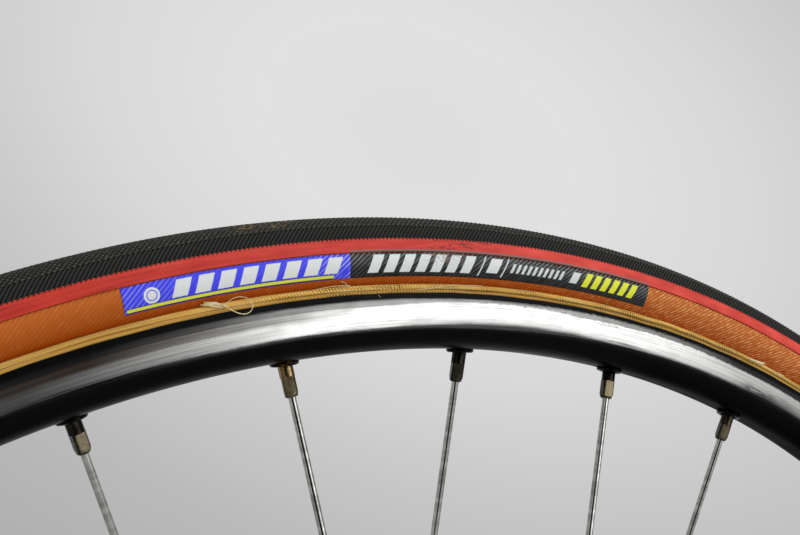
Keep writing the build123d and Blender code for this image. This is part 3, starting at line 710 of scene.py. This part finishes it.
def ring_piece(name, slot, turns, radius, across, girth, relief=None):
    """A closed ring, from rows of points round the wheel: the rows climb the right-hand side,
    cross the crown and come back. The map 'place' holds millimetres round and across."""
    rows, columns = radius.shape
    turn = np.radians(turns)
    points = np.stack([radius * np.sin(turn), across, radius * np.cos(turn)], -1) * MM
    row = np.arange(rows)[:, None]
    column = np.arange(columns)[None, :]
    after = (column + 1) % columns
    above = (row + 1) % rows
    corners = [(row, column), (row, after), (above, after), (above, column)]
    faces = np.stack([r * columns + c + 0 * row for r, c in corners], -1).reshape(-1, 4)
    wrap = lap * (column == columns - 1)
    along = turn * crown_radius
    girths = np.broadcast_to(girth, radius.shape)
    maps = []
    for r, c in corners:
        here = along[r, c] + (wrap if c is after else 0)
        maps.append(np.stack([here, girths[r, c] + 0 * here], -1))
    mesh = bpy.data.meshes.new(name)
    mesh.vertices.add(rows * columns)
    mesh.vertices.foreach_set("co", points.reshape(-1))
    mesh.loops.add(faces.size)
    mesh.loops.foreach_set("vertex_index", faces.reshape(-1).astype(np.int32))
    mesh.polygons.add(len(faces))
    mesh.polygons.foreach_set("loop_start", np.arange(0, faces.size, 4, dtype=np.int32))
    mesh.update(calc_edges=True)
    layer = mesh.uv_layers.new(name="place")
    layer.data.foreach_set("uv", np.stack(maps, -2).reshape(-1).astype(np.float32))
    if relief is not None:
        mesh.attributes.new("relief", "FLOAT", "POINT")
        mesh.attributes["relief"].data.foreach_set("value", relief.reshape(-1))
    mesh.shade_smooth()
    mesh.set_sharp_from_angle(angle=CREASE)
    mesh.materials.append(finishes[slot])
    return placed(name, mesh)


def plain_ring(name, slot, radius, across, girth):
    """A ring whose section is the same all the way round."""
    turns = np.linspace(-180, 180, STEPS, endpoint=False)
    ones = np.ones((1, STEPS))
    return ring_piece(name, slot, turns * np.ones((len(radius), 1)), radius[:, None] * ones,
                      across[:, None] * ones, girth[:, None])


def girth_of(angle):
    """Millimetres round the tyre's section from the crown."""
    return np.radians(angle) * tread_section


# ---- Tyre ----

def tread_base():
    """The black rubber under the pattern."""
    outer = np.linspace(base_half_angle, -base_half_angle, 21)
    inner = np.linspace(-base_half_angle, base_half_angle, 9)
    thickness = 0.3
    top = section_point(outer, tread_section - rib_height)
    bottom = section_point(inner, tread_section - rib_height - thickness)
    radius = np.concatenate([top[0], bottom[0]])
    across = np.concatenate([top[1], bottom[1]])
    return plain_ring("tread_base", "black_tread_rubber", radius, across,
                      girth_of(np.concatenate([outer, inner])))


def ribbed_ring(name, edge_angles, rows, pitch, height, slant, ragged):
    """Moulded ribs on the slant. Each rib has four columns: two on its top, two in its valley."""
    ribs = round(lap / pitch)
    columns = 4 * ribs
    on_top = np.tile([1.0, 1.0, 0.0, 0.0], ribs)
    start, end = edge_angles
    outer = np.linspace(start, end, rows)[:, None] * np.ones(columns)
    edge = 0 if abs(start) > abs(end) else -1
    outer[edge] += math.copysign(ragged, outer[edge, 0]) * on_top
    inner = np.array([end, start])[:, None] * np.ones(columns)
    sunk = 0.05
    low = tread_section - rib_height - sunk
    height_there = tread_section - height * (1 - on_top)
    section = np.vstack([np.tile(height_there, (rows, 1)), np.full((2, columns), low)])
    angles = np.vstack([outer, inner])
    radius, across = section_point(angles, section)
    shift = -np.abs(np.radians(angles)) * tread_section / math.tan(math.radians(slant))
    turns = np.linspace(-180, 180, columns, endpoint=False) + np.degrees(shift / crown_radius)
    relief = np.vstack([np.tile(on_top, (rows, 1)), np.zeros((2, columns))])
    return ring_piece(name, "black_tread_rubber", turns, radius, across, girth_of(angles), relief)


def shoulder_band(name, sign):
    """The red strip beside the tread, with a thin square edge over the casing."""
    outer = np.linspace(*band_angles, 7)
    step_down, thickness = 0.15, 0.7
    top = section_point(outer, tread_section - step_down)
    bottom = section_point(outer[::-1], tread_section - step_down - thickness)
    radius = np.concatenate([top[0], bottom[0]])
    across = np.concatenate([top[1], bottom[1]])
    girth = girth_of(np.concatenate([outer, outer[::-1]]))
    if sign < 0:
        radius, across, girth = radius[::-1], -across[::-1], -girth[::-1]
    return plain_ring(name, "red_shoulder_rubber", radius, across, girth)


def casing():
    """The smooth tube under the cords."""
    under_cords = 0.3
    angles = np.linspace(180, -180, 40, endpoint=False)
    radius, across = section_point(angles, casing_section - under_cords, casing_centre)
    return plain_ring("casing_tube", "skin_cotton_casing", radius, across, girth_of(angles))


def cord_wave(along, across):
    """1 on a cord's crest and 0 between cords, for millimetres round and across."""
    turn = math.radians(cord_slant)
    count = (along * math.sin(turn) + across * math.cos(turn)) / cord_pitch
    return 0.5 + 0.5 * np.sin(2 * np.pi * count)


def corded_side(name, sign):
    """The casing's bare side, with four columns to each slanted cord."""
    columns = 4 * cord_count
    outer = np.linspace(*corded_arc, 8)
    inner = np.linspace(corded_arc[1], corded_arc[0], 2)
    angles = np.concatenate([outer, inner])[:, None]
    girth = girth_of(angles) * np.ones(columns)
    start = (np.arange(columns) + 1) / columns * 360 - 180
    turns = start - np.degrees(girth / math.tan(math.radians(cord_slant)) / crown_radius)
    rise = cord_rise * (cord_wave(np.radians(turns) * crown_radius, girth) - 0.5)
    section = casing_section + rise
    hidden_side = 0.2
    section[len(outer):] = casing_section - hidden_side
    radius, across = section_point(angles, section, casing_centre)
    if sign < 0:
        turns, radius, across, girth = turns[::-1], radius[::-1], -across[::-1], -girth[::-1]
    return ring_piece(name, "skin_cotton_casing", turns, radius, across, girth)


def base_tape():
    """The tape in the rim's bed, with a thin and a thick corded ridge over the rim's edge. The
    thin ridge wanders: it hangs lower where the tape was pulled over the edge."""
    bed = np.radians(np.linspace(0, 38, 5))
    half = [(casing_centre - tape_section * math.cos(t), tape_section * math.sin(t), 0)
            for t in bed]
    for r, y, size, first, last, free in ((316.4, 9.62, 0.46, -50, 190, 1.0),
                                          (317.42, 8.88, 0.78, 40, 205, 0.35)):
        for t in np.radians(np.linspace(first, last, 12)):
            half.append((r - size * math.cos(t), y + size * math.sin(t), free))
    glued_section = 10
    half += [(casing_centre - glued_section * math.cos(t), glued_section * math.sin(t), 0)
             for t in np.radians([48, 25, 0])]
    right = np.array(half)
    steps = np.hypot(np.diff(right[:, 0]), np.diff(right[:, 1]))
    girth = np.concatenate([[0], np.cumsum(steps)])
    outline = np.concatenate([right * (1, -1, 1), right[1:-1][::-1]])
    girth = np.concatenate([girth, -girth[1:-1][::-1]])
    turns = np.linspace(-180, 180, STEPS, endpoint=False)
    droop = np.interp(turns, [-180, -60, -17, -12, -8, 0, 4, 8, 12, 16, 26, 70, 180],
                      [-0.15, 0.0, 0.06, -0.05, -0.08, -0.22, -0.34, -0.56, -0.72, -0.8, -0.7,
                       -0.15, -0.15])
    turn = np.radians(turns)
    droop += 0.05 * np.sin(53 * turn) + 0.04 * np.sin(131 * turn + 1)
    thick = 0.03 * np.sin(71 * turn + 2) + 0.03 * np.sin(157 * turn)
    free = outline[:, 2:]
    radius = outline[:, :1] + free * droop + thick * ((free > 0) & (free < 1))
    ones = np.ones((1, STEPS))
    return ring_piece("corded_base_tape", "cotton_base_tape", turns * np.ones((len(outline), 1)),
                      radius, outline[:, 1:2] * ones, girth[:, None])


def label(name, sign):
    """A thin film on the casing, closed at its edges, that stands just proud of the cords."""
    turns = np.linspace(*label_ends, 460)
    rows = np.linspace(label_girth[1], label_girth[0], 14)
    shape = np.ones((len(rows), len(turns)))
    turn = np.radians(turns) * shape
    girths = np.radians(rows[:, None]) * tread_section * shape
    shown_cords = 0.07
    rise = film_rise + shown_cords * (cord_wave(turn * crown_radius, girths) - 0.5)
    radius, across = section_point(rows[:, None] * shape, casing_section + rise, casing_centre)
    points = np.stack([radius * np.sin(turn), sign * across, radius * np.cos(turn)], -1) * MM
    columns = len(turns)
    faces = []
    for row in range(len(rows) - 1):
        for column in range(columns - 1):
            start = row * columns + column
            faces.append((start, start + 1, start + columns + 1, start + columns)[::sign])
    mesh = bpy.data.meshes.new(name)
    mesh.from_pydata(points.reshape(-1, 3).tolist(), [], faces)
    places = np.stack([turn * crown_radius, girths], -1).reshape(-1, 2)
    corners = np.array([loop.vertex_index for loop in mesh.loops])
    layer = mesh.uv_layers.new(name="place")
    layer.data.foreach_set("uv", places[corners].reshape(-1).astype(np.float32))
    mesh.shade_smooth()
    mesh.materials.append(label_finish)
    skin = placed(name, mesh).modifiers.new("film", "SOLIDIFY")
    skin.thickness = film_thickness * MM
    skin.offset = -1.0


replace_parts(tread_base(), "tyre_tread")
ribbed_ring("tread_centre", (centre_half_angle, -centre_half_angle), 11, file_pitch,
            file_height, rib_slant, 0.0)
ribbed_ring("tread_side_right", side_zone[::-1], 4, side_rib_pitch, rib_height, rib_slant,
            rib_tooth)
ribbed_ring("tread_side_left", (-side_zone[0], -side_zone[1]), 4, side_rib_pitch, rib_height,
            rib_slant, rib_tooth)
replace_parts(shoulder_band("shoulder_band_right", 1), "tyre_shoulder_bands")
shoulder_band("shoulder_band_left", -1)
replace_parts(casing(), "tyre_casing")
corded_side("corded_side_right", 1)
corded_side("corded_side_left", -1)
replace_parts(base_tape(), "tyre_base_tape")
label_finish = finish("printed_label_film_finish", printed_label_film)
label("label_right", 1)
label("label_left", -1)


# ---- Loose threads of the tape ----

def wheel_point(angle, radius, out):
    """A point at an angle round the wheel, a radius, and a distance out to the right."""
    turn = math.radians(angle)
    return (radius * math.sin(turn) * MM, -out * MM, radius * math.cos(turn) * MM)


def thread(name, size, ends, points):
    """A loose cotton thread through points of angle, radius and distance out. Its size is half
    its thickness, and its ends are the shares of that size at its first and last point."""
    curve = bpy.data.curves.new(name, "CURVE")
    curve.dimensions = "3D"
    curve.bevel_depth = size * MM
    curve.bevel_resolution = 2
    curve.use_fill_caps = True
    spline = curve.splines.new("NURBS")
    spline.points.add(len(points) - 1)
    for number, (point, place) in enumerate(zip(spline.points, points)):
        point.co = (*wheel_point(*place), 1.0)
        share = number / (len(points) - 1)
        point.radius = ends[0] + (ends[1] - ends[0]) * share
    spline.order_u = 3
    spline.use_endpoint_u = True
    curve.materials.append(finishes["loose_cotton_thread"])
    placed(name, curve)


THREADS = [
    ("loose_loop", 0.16, (1.0, 0.4),
     [(-11.75, 318.9, 9.4), (-11.3, 318.8, 10.2), (-10.9, 317.4, 10.7), (-10.5, 315.4, 10.9),
      (-10.1, 314.6, 10.9), (-9.8, 315.2, 10.9), (-9.68, 316.6, 10.8), (-9.85, 318.4, 10.7),
      (-10.3, 319.2, 10.6), (-10.75, 318.5, 10.6), (-10.95, 317.2, 10.3), (-11.2, 316.8, 10.0)]),
    ("loop_root", 0.5, (0.5, 0.55),
     [(-11.75, 318.6, 9.6), (-11.45, 318.5, 10.0), (-11.15, 318.1, 10.2), (-10.9, 317.4, 10.3)]),
    ("loop_fray", 0.34, (0.4, 0.6),
     [(-11.9, 318.75, 9.5), (-11.6, 318.3, 10.0), (-11.25, 317.6, 10.2), (-11.0, 317.2, 10.2)]),
    ("loop_stray", 0.14, (0.4, 0.9),
     [(-11.75, 319.3, 9.8), (-11.5, 318.95, 10.1), (-11.2, 318.6, 10.2)]),
    ("raised_fibre", 0.1, (0.5, 1.0),
     [(-5.4, 319.6, 10.1), (-5.2, 319.2, 10.0), (-5.1, 318.6, 9.8), (-5.0, 317.9, 9.6)]),
    ("overlap_edge", 0.15, (0.5, 0.5),
     [(-1.5, 316.6, 9.85), (-0.9, 316.75, 10.0), (-0.3, 317.3, 9.85), (0.4, 317.9, 9.6),
      (1.2, 318.1, 9.45), (2.2, 318.15, 9.35)]),
    ("rubbed_edge", 0.12, (0.5, 0.9),
     [(-6.6, 318.1, 9.2), (-6.1, 318.5, 9.3), (-5.4, 318.55, 9.3), (-4.9, 318.3, 9.4)]),
    ("rim_fibre", 0.07, (1.0, 0.4),
     [(-3.56, 315.5, 10.05), (-3.5, 315.2, 10.15), (-3.48, 314.9, 10.1)]),
    ("torn_edge", 0.6, (0.5, 1.0),
     [(20.3, 317.2, 9.3), (20.9, 317.35, 9.35), (21.4, 317.55, 9.4), (21.85, 317.8, 9.45)]),
    ("torn_tip", 0.18, (1.0, 0.3),
     [(21.7, 318.05, 9.5), (21.9, 318.4, 9.6), (22.0, 318.65, 9.65)]),
    ("lifted_edge", 0.26, (0.4, 0.8),
     [(22.9, 317.6, 9.2), (23.3, 317.85, 9.4), (23.7, 317.75, 9.4)]),
]
for row in THREADS:
    thread(*row)


# ---- Nipples ----

def spoke_line(number):
    """Where a spoke meets the rim, and the way it points there."""
    side = 1 if number % 2 == 0 else -1
    trailing = number % 4 < 2
    angle = first_spoke + number * spoke_step
    partner = angle + (spoke_step if trailing else -spoke_step)
    seat = Vector(wheel_point(angle, rim_inner_radius, -side * seat_out))
    crossing = Vector(wheel_point(partner, crossing_at, -side * crossing_out[1 if trailing else 0]))
    return seat, (seat - crossing).normalized()


def nipples():
    """A turned nipple on each spoke: a round barrel, four wrench flats and a rounded end."""
    quarter = [-31.8, -16, 0, 16, 31.8, 45]
    angles = np.radians([90 * turn + step for turn in range(4) for step in quarter])
    squares = nipple_flat / np.maximum(abs(np.cos(angles)), abs(np.sin(angles)))
    rows = [(2.45, 1.04), (2.45, 2.9), (4.3, 2.9), (4.8, 2.4), (4.8, 1.04)]
    flats = [(nipple_tip, 1.04), (nipple_tip, 1.4), (nipple_tip + 0.2, 1.62),
             (nipple_tip + 0.7, 1.84), (nipple_tip + 1.3, nipple_round),
             (nipple_collar - 0.15, nipple_round)]
    barrel = [(nipple_collar, nipple_round), (nipple_collar + 0.15, 1.96), (2.4, 1.96)]
    points, faces, places, crust, brass = [], [], [], [], []
    for number in range(spoke_count):
        seat, aim = spoke_line(number)
        front = Vector((0, -1, 0))
        front = (front - aim * front.dot(aim)).normalized()
        front.rotate(Quaternion(aim, math.radians(flat_turns[number % 7])))
        side = aim.cross(front)
        profile = [(s, r, True) for s, r in flats] + [(s, r, False) for s, r in barrel + rows]
        start = len(points)
        for along, radius, square in profile:
            for column, angle in enumerate(angles):
                reach = min(radius, squares[column]) if square else radius
                out = front * math.cos(angle) + side * math.sin(angle)
                points.append(seat + (aim * along + out * reach) * MM)
                places.append((math.degrees(angle) / 3, along))
                face = square and along > nipple_tip + 0.3 and column % 6 != 5
                share = 1.0 if column < 5 else 0.08
                crust.append(crusts[number % 7] * share if face else 0.0)
                brass.append(bare_brass[number % 7])
        count = len(angles)
        for row in range(len(profile)):
            for column in range(count):
                here = start + row * count
                above = start + (row + 1) % len(profile) * count
                after = (column + 1) % count
                faces.append((here + column, here + after, above + after, above + column))
    mesh = bpy.data.meshes.new("nipples")
    mesh.from_pydata(points, [], faces)
    mesh.update()
    corners = mesh.uv_layers.new(name="place").data
    for loop in mesh.loops:
        corners[loop.index].uv = places[loop.vertex_index]
    for name, levels in (("crust", crust), ("brass", brass)):
        mesh.attributes.new(name, "FLOAT", "POINT").data.foreach_set("value", levels)
    mesh.materials.append(finishes["nickel_brass_nipples"])
    mesh.polygons.foreach_set("use_smooth", [True] * len(mesh.polygons))
    mesh.set_sharp_from_angle(angle=math.radians(28))
    return placed("nipples", mesh)


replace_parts(nipples(), "spoke_nipples")


# ---- Rim ----

def rim_shell():
    """The rolled rim: a flat inner face, round corners, pad-worn walls and the tyre's bed."""
    corner_high, corner_wide = 5.9, 7.4
    flat = rim_half_width - corner_wide
    walls = [(rim_inner, 0.0), (rim_inner, flat * 0.6)]
    walls += [(rim_inner + corner_high * (1 - math.cos(a)), flat + corner_wide * math.sin(a))
              for a in np.radians(np.linspace(0, 90, 12))]
    walls += [(307.1, 9.95), (309.0, 9.9), (311.0, 9.88), (313.2, 9.93), (314.4, 9.97),
              (314.8, 10.0), (315.3, 10.0)]
    lip = 0.6
    walls += [(rim_outer - lip + lip * math.sin(a), rim_half_width - lip + lip * math.cos(a))
              for a in np.radians(np.linspace(15, 90, 5))]
    bed_edge = 9.2
    bed_sag = 2.5
    bed_radius = (bed_edge ** 2 + bed_sag ** 2) / (2 * bed_sag)
    for y in np.linspace(bed_edge, 0, 9):
        drop = bed_radius - math.sqrt(bed_radius ** 2 - y ** 2)
        walls.append((rim_outer - bed_sag + drop, y))
    right = [(r, -y) for r, y in walls]
    left = [(r, y) for r, y in walls[-2:0:-1]]
    outline = np.array(right + left)
    return plain_ring("rim_shell", "dark_anodised_rim", outline[:, 0], outline[:, 1],
                      outline[:, 0])


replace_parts(rim_shell(), "rim")


# ---- Camera, floor and light ----

camera = bpy.data.objects.new("camera", bpy.data.cameras.new("camera"))
bpy.context.scene.collection.objects.link(camera)
camera_tilt, camera_turn = 3.496, -27.965
camera.location = (-0.13179, -0.23307, 0.30671)
camera.rotation_euler = (math.radians(90 + camera_tilt), 0.0, math.radians(camera_turn))
camera.data.lens = 44.13
camera.data.sensor_width = 36.0
camera.data.clip_start = 0.01
bpy.context.scene.camera = camera


def facing(place, aim, axis):
    """The turn that points one of a thing's axes from its place at an aim."""
    return (Vector(aim) - Vector(place)).to_track_quat(axis, "Y").to_euler()


def softbox(name, place, width, height, watts):
    """An upright soft light that faces the wheel's top."""
    lamp = bpy.data.lights.new(name, "AREA")
    lamp.shape = "RECTANGLE"
    lamp.size = width
    lamp.size_y = height
    lamp.energy = watts
    holder = bpy.data.objects.new(name, lamp)
    bpy.context.scene.collection.objects.link(holder)
    holder.location = place
    holder.rotation_euler = facing(place, (0.05, 0.0, 0.3), "-Z")


softbox("key_light", (1.09, -1.725, 0.9), 1.12, 2.2, 13.5)
softbox("top_light", (0.35, -0.4, 2.2), 1.6, 1.6, 17)


def dark_card(name, place, width, height):
    """A matt black card that faces the wheel. Only reflections see it, so it gives round metal
    a dark side and takes no light from the rest."""
    bpy.ops.mesh.primitive_plane_add(size=1, location=place)
    card = bpy.context.object
    card.name = name
    card.scale = (width, height, 1)
    card.rotation_euler = facing(place, (0, 0, 0.25), "Z")
    card.data.materials.append(finish(name, black_card))
    for rays in ("camera", "diffuse", "shadow", "transmission", "volume_scatter"):
        setattr(card, "visible_" + rays, False)


def black_card(tree):
    """Black cotton velvet on a board: it gives back almost nothing."""
    return add(tree, "BsdfDiffuse", {"Color": "#101010"})


dark_card("left_card", (-0.75, -1.5, 0.3), 1.5, 1.6)


def studio_world():
    """A pale seamless studio, brightest behind the wheel, and an even light on the object."""
    world = bpy.data.worlds.new("studio")
    world.use_nodes = True
    bpy.context.scene.world = world
    tree = world.node_tree
    tree.nodes.clear()
    azimuth, elevation = math.radians(29), math.radians(11)
    spot = Vector((math.sin(azimuth), math.cos(azimuth), math.tan(elevation))).normalized()
    place = add(tree, "TexCoord").outputs["Generated"]
    offset = add(tree, "VectorMath", {0: place, 1: spot}, operation="SUBTRACT")
    sides = [add(tree, "VectorMath", {0: offset, 1: side}, operation="DOT_PRODUCT").outputs[1]
             for side in ((0.8 * math.cos(azimuth), -0.8 * math.sin(azimuth), 0.36),
                          (math.sin(azimuth), math.cos(azimuth), 0), (0, 0, 1))]
    away = add(tree, "CombineXYZ", {0: sides[0], 1: sides[1], 2: sides[2]})
    away = add(tree, "VectorMath", {0: away}, operation="LENGTH").outputs[1]
    away = add(tree, "Math", {0: away, 1: 0.5}, operation="MULTIPLY")
    wall = add(tree, "ValToRGB", {0: away},
               stops=[(0.0, "#dddedd"), (0.06, "#e0e1e0"), (0.12, "#d9d9d9"), (0.15, "#d1d1d1"),
                      (0.185, "#c7c7c7"), (0.21, "#c1c1c1"), (0.235, "#bababa"), (0.265, "#b5b5b5"),
                      (0.3, "#afafaf"), (0.45, "#b8b8b8"), (0.75, "#c4c4c4")])
    rays = add(tree, "LightPath")
    seen = add(tree, "Math", {0: rays.outputs["Is Camera Ray"], 1: rays.outputs["Is Glossy Ray"]},
               operation="MAXIMUM")
    seen = add(tree, "Math", {0: seen, 1: rays.outputs["Is Transmission Ray"]},
               operation="MAXIMUM")
    light = add(tree, "Background", {"Color": "#ffffff", "Strength": 0.5})
    shown = add(tree, "Background", {"Color": wall, "Strength": 1.0})
    both = add(tree, "MixShader", {0: seen, 1: light, 2: shown})
    tree.links.new(both.outputs[0], add(tree, "OutputWorld").inputs["Surface"])


studio_world()


def pale_floor(tree):
    """Matt pale studio paper that fades into the backdrop towards its edge."""
    place = add(tree, "TexCoord").outputs["Object"]
    far = add(tree, "VectorMath", {0: place}, operation="LENGTH").outputs[1]
    fade = add(tree, "MapRange", {0: far, 1: 1.0, 2: 2.4}, interpolation_type="SMOOTHSTEP")
    grain = add(tree, "ValToRGB", {0: blotches(tree, 30)},
                stops=[(0.3, "#c2c3c2"), (0.7, "#c6c7c6")])
    paper = add(tree, "BsdfPrincipled", {"Base Color": grain, "Roughness": 0.9,
                                         "Specular IOR Level": 0.1})
    return add(tree, "MixShader", {0: fade, 1: paper, 2: add(tree, "BsdfTransparent")})


bpy.ops.mesh.primitive_circle_add(vertices=96, radius=2.4, fill_type="NGON",
                                  location=(0, 0, cad_box[0][2]))
floor = bpy.context.object
floor.name = "floor"
floor.data.materials.append(finish("pale_floor", pale_floor))

bpy.context.scene.view_settings.view_transform = "Standard"
